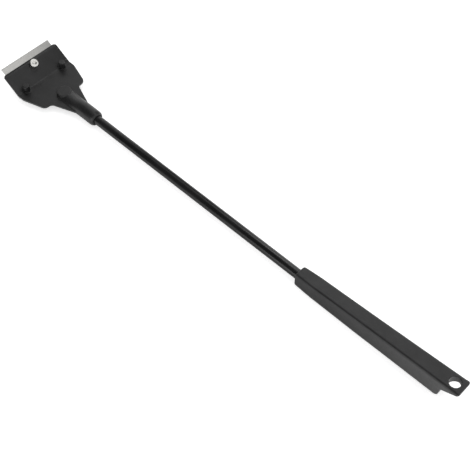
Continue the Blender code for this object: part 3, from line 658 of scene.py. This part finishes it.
def rolled_steel(name, colour, roughness):
    """Rolled spring steel whose lines run across the tool, ground square to the edge near the cutting edge."""
    made, tree, surface = start(name, colour, roughness, metallic=1.0)
    crease = tint(CREASE, MILLIMETRES)
    turned = {"Vector": millimetres(tree), "Center": crease, "Angle": -TILT}
    level = put(tree, "ShaderNodeVectorRotate", turned, rotation_type="Y_AXIS").outputs["Vector"]
    moved = put(tree, "ShaderNodeVectorMath", {0: level, 1: crease}, operation="SUBTRACT")
    from_crease = moved.outputs["Vector"]
    reach = put(tree, "ShaderNodeSeparateXYZ", {"Vector": from_crease}).outputs["X"]
    ground = spread(tree, reach, GROUND_RANGE)
    across = noise(tree, from_crease, scale=2.2, detail=4.0, stretch=(3.2, 0.05, 1.0))
    cut = noise(tree, from_crease, scale=2.6, detail=3.0, stretch=(0.10, 3.4, 1.0))
    lines = put(tree, "ShaderNodeMix", {0: ground, 2: across, 3: cut}).outputs[0]
    stains = noise(tree, from_crease, scale=0.22, detail=4.0, distortion=0.8)
    body = blend(tree, spread(tree, lines, WIDE_RANGE), tint(colour, 0.93), tint(colour, 1.05))
    stained = spread(tree, stains, STAIN_RANGE, (0.0, 0.35))
    body = blend(tree, stained, body, tint(colour, 0.86))
    vary_colour(tree, surface, ground, body, tint(colour, 0.88))
    vary_roughness(tree, surface, stains, WIDE_RANGE, roughness - 0.03, roughness + 0.05)
    bump(tree, surface, lines, distance=0.000004)
    return made


def bright_steel(name, colour, roughness):
    """Bright turned steel with a fine grain and softer patches."""
    made, tree, surface = start(name, colour, roughness, metallic=1.0)
    place = millimetres(tree)
    fine = noise(tree, place, scale=5.0, detail=4.0)
    patches = noise(tree, place, scale=0.7, detail=3.0)
    vary_roughness(tree, surface, patches, WIDE_RANGE, roughness - 0.04, roughness + 0.06)
    vary_colour(tree, surface, spread(tree, fine, NARROW_RANGE), tint(colour, 0.90), colour)
    bump(tree, surface, fine, distance=0.000005)
    return made


# The object

HEAD_BLACK = (0.0115, 0.0115, 0.0118)
GRIP_BLACK = (0.0120, 0.0120, 0.0123)
ROD_BLACK = (0.0060, 0.0060, 0.0063)
BLADE_GREY = (0.60, 0.595, 0.575)
SPINE_GREY = (0.42, 0.42, 0.41)
SCREW_GREY = (0.88, 0.87, 0.84)
NUT_GREY = (0.66, 0.655, 0.64)

HEAD_PLASTIC = moulded_plastic("head plastic", HEAD_BLACK, roughness=0.40, grain=4.2, depth=0.000020)
CLAMP_PLASTIC = moulded_plastic("clamp plastic", HEAD_BLACK, roughness=0.42, grain=4.2, depth=0.000020)
GRIP_PLASTIC = moulded_plastic("grip plastic", GRIP_BLACK, roughness=0.44, grain=3.6, depth=0.000022)
ROD_COATING = coated_steel("rod coating", ROD_BLACK, roughness=0.27)
BLADE_STEEL = rolled_steel("blade steel", BLADE_GREY, roughness=0.28)
SPINE_STEEL = rolled_steel("spine steel", SPINE_GREY, roughness=0.38)
SCREW_STEEL = bright_steel("screw steel", SCREW_GREY, roughness=0.24)
NUT_STEEL = bright_steel("nut steel", NUT_GREY, roughness=0.28)

head_skin = moulded(head_form(), HEAD_VOXEL, rounds=5, triangles=90000, shape=round_nose)
jaw_skin = moulded(welded("clamp_plate"), HEAD_VOXEL, rounds=3, triangles=50000)
grip_skin = moulded(grip_mesh(), GRIP_VOXEL, rounds=4, triangles=80000)

show("head_shell", head_skin, HEAD_PLASTIC, "handle", "head_plastic", "head_body")
show("lower_jaw", jaw_skin, CLAMP_PLASTIC, "clamp", "clamp_plastic", "clamp_plate")
show("cap_screw", screw_mesh(), SCREW_STEEL, "screw", "screw_steel", "clamp_screw")
show("hex_nut", nut_mesh(), NUT_STEEL, "clamp", "nut_steel", "clamp_nut")
show("rod_bar", rod_mesh(), ROD_COATING, "handle", "rod_coating", "rod")
show("grip_shell", grip_skin, GRIP_PLASTIC, "handle", "grip_plastic", "grip")

for node, material in (("blade_sheet", BLADE_STEEL), ("blade_spine", SPINE_STEEL)):
    dress(frame["nodes"][node].data, material)

# Camera: its place was fitted to the photograph's outline, as lengths from the crease and focal length in pixels

SENSOR_WIDTH = 36.0
PHOTO_WIDTH = 470.0
FOCAL_PIXELS = 960.0
CLIP_START = 0.01
CAMERA_FROM_CREASE = Vector((0.39531, -0.23574, 0.44305))
CAMERA_RIGHT = Vector((0.72293, 0.69092, 0.0))
CAMERA_AHEAD = Vector((-0.4038, 0.4225, -0.8114))


def make_camera():
    """The camera at the photograph's place."""
    lens = bpy.data.cameras.new("camera")
    lens.sensor_width = SENSOR_WIDTH
    lens.lens = SENSOR_WIDTH * FOCAL_PIXELS / PHOTO_WIDTH
    lens.clip_start = CLIP_START
    camera = placed("camera", lens)
    ahead = CAMERA_AHEAD.normalized()
    up = CAMERA_RIGHT.normalized().cross(ahead).normalized()
    right = ahead.cross(up).normalized()
    turn = Matrix((right, up, -ahead)).transposed().to_4x4()
    camera.matrix_world = Matrix.Translation(CREASE + CAMERA_FROM_CREASE) @ turn
    bpy.context.scene.camera = camera


make_camera()

# Studio

FLOOR_HALF = 6.0
FLOOR_STEPS = 24
FLOOR_COLOUR = (0.80, 0.80, 0.80, 1.0)
FLAG_SEGMENTS = 96
# Stretch along the tool of the painted floor shadow that only reflections see
SHADOW_SHEET_STRETCH = 6.2


def aim(thing, spot, target):
    """Puts the thing at the spot, with its +Z away from the target."""
    thing.location = spot
    thing.rotation_mode = "QUATERNION"
    thing.rotation_quaternion = (spot - target).to_track_quat("Z", "Y")


def softbox(name, spot, target, width, height, radiance):
    """An area lamp at the spot that faces the target. Radiance 1 shows as white in a mirror."""
    lamp = bpy.data.lights.new(name, "AREA")
    lamp.shape = "RECTANGLE"
    lamp.size, lamp.size_y = width, height
    lamp.energy = radiance * math.pi * width * height
    thing = placed(name, lamp)
    aim(thing, spot, target)
    return thing


def seen_share(tree):
    """1 for rays from the camera and in reflections or glass, 0 for rays that light matt surfaces."""
    path = put(tree, "ShaderNodeLightPath")
    share = path.outputs["Is Camera Ray"]
    for ray in ("Is Glossy Ray", "Is Transmission Ray"):
        both = put(tree, "ShaderNodeMath", {0: share, 1: path.outputs[ray]}, operation="ADD", use_clamp=True)
        share = both.outputs[0]
    return share


def make_world(ambient):
    """An even white surround. Rays that light matt surfaces get the ambient level."""
    world = bpy.data.worlds.new("studio")
    bpy.context.scene.world = world
    world.use_nodes = True
    tree = world.node_tree
    tree.nodes.clear()
    dim = put(tree, "ShaderNodeBackground", {"Color": WHITE, "Strength": ambient})
    white = put(tree, "ShaderNodeBackground", {"Color": WHITE, "Strength": 1.0})
    inputs = {0: seen_share(tree), 1: dim.outputs[0], 2: white.outputs[0]}
    mixed = put(tree, "ShaderNodeMixShader", inputs)
    put(tree, "ShaderNodeOutputWorld", {"Surface": mixed.outputs[0]})


def floor_material(glow):
    """Matt white. Its glow is seen, also in reflections, but lights nothing."""
    made, tree = empty_material("floor")
    strength = put(tree, "ShaderNodeMath", {0: seen_share(tree), 1: glow}, operation="MULTIPLY")
    matt = put(tree, "ShaderNodeBsdfDiffuse", {"Color": FLOOR_COLOUR})
    light = put(tree, "ShaderNodeEmission", {"Color": WHITE, "Strength": strength.outputs[0]})
    both = put(tree, "ShaderNodeAddShader", {0: matt.outputs[0], 1: light.outputs[0]})
    put(tree, "ShaderNodeOutputMaterial", {"Surface": both.outputs[0]})
    return made


def make_floor(glow):
    """A wide floor under the object."""
    form = bmesh.new()
    line = [FLOOR_HALF * (2 * step / FLOOR_STEPS - 1) for step in range(FLOOR_STEPS + 1)]
    rows = [[form.verts.new((MIDDLE.x + x, y, 0.0)) for x in line] for y in line]
    for near, far in zip(rows, rows[1:]):
        for i in range(FLOOR_STEPS):
            form.faces.new((near[i], near[i + 1], far[i + 1], far[i]))
    mesh = as_mesh(form, "floor")
    dress(mesh, floor_material(glow))
    placed("floor", mesh)


def flag_material(name, inner, outer, darkness):
    """Black inside the inner radius, to this darkness, and clear from the outer one."""
    made, tree = empty_material(name)
    place = put(tree, "ShaderNodeTexCoord").outputs["Object"]
    away = put(tree, "ShaderNodeVectorMath", {0: place}, operation="LENGTH").outputs["Value"]
    clear = spread(tree, away, (inner, outer), (1.0 - darkness, 1.0), interpolation_type="SMOOTHSTEP")
    through = put(tree, "ShaderNodeBsdfTransparent", {"Color": WHITE})
    black = put(tree, "ShaderNodeEmission", {"Color": BLACK, "Strength": 0.0})
    mixed = put(tree, "ShaderNodeMixShader", {0: clear, 1: black.outputs[0], 2: through.outputs[0]})
    put(tree, "ShaderNodeOutputMaterial", {"Surface": mixed.outputs[0]})
    return made


def make_flag(name, spot, target, inner, outer, darkness):
    """A round black flag at the spot that faces the target. Only reflections show it, with a soft rim."""
    form = bmesh.new()
    bmesh.ops.create_circle(form, cap_ends=True, segments=FLAG_SEGMENTS, radius=outer)
    mesh = as_mesh(form, name)
    dress(mesh, flag_material(name, inner, outer, darkness))
    flag = placed(name, mesh)
    aim(flag, spot, target)
    for rays in ("camera", "diffuse", "transmission", "volume_scatter", "shadow"):
        setattr(flag, "visible_" + rays, False)
    return flag


make_world(ambient=0.75)
make_floor(glow=0.60)
make_flag(
    "flag over the rod",
    spot=MIDDLE + Vector((-0.248, -0.260, 0.440)),
    target=MIDDLE,
    inner=0.34,
    outer=1.00,
    darkness=0.94,
)
make_flag(
    "card by the jaw",
    spot=Vector((-0.131, 0.148, 0.115)),
    target=CREASE,
    inner=0.05,
    outer=0.13,
    darkness=0.95,
)
make_flag(
    "card by the grip",
    spot=Vector((0.070, 0.115, 0.218)),
    target=GRIP_MIDDLE,
    inner=0.05,
    outer=0.11,
    darkness=0.40,
)
make_flag(
    "flag before the neck",
    spot=Vector((-0.70, -0.62, 0.15)),
    target=CREASE,
    inner=0.30,
    outer=0.45,
    darkness=0.60,
)
# Painted shadow: a dark strip that only reflections see. It stands for the floor's shadow beside the tool, where
# the grip's and neck's sides reflect the floor.
shadow_sheet = make_flag(
    "painted shadow along the tool",
    spot=Vector((0.0, -0.004, 0.0015)),
    target=Vector((0.0, -0.004, 0.0)),
    inner=0.012,
    outer=0.032,
    darkness=0.55,
)
shadow_sheet.scale = (SHADOW_SHEET_STRETCH, 1.0, 1.0)

key = softbox("key", MIDDLE + Vector((0.75, 0.55, 0.91)), MIDDLE, width=0.70, height=0.70, radiance=0.55)
key.visible_glossy = False
softbox("front", Vector((-0.02, -0.60, 0.13)), GRIP_MIDDLE, width=0.35, height=0.24, radiance=2.00)
softbox("back", Vector((-0.35, 0.90, 0.45)), MIDDLE, width=0.90, height=0.45, radiance=0.50)
softbox(
    "crease strip",
    CREASE + Vector((-0.141, 0.369, 0.919)),
    CREASE,
    width=0.24,
    height=0.60,
    radiance=3.40,
)

bpy.context.scene.view_settings.view_transform = "Standard"
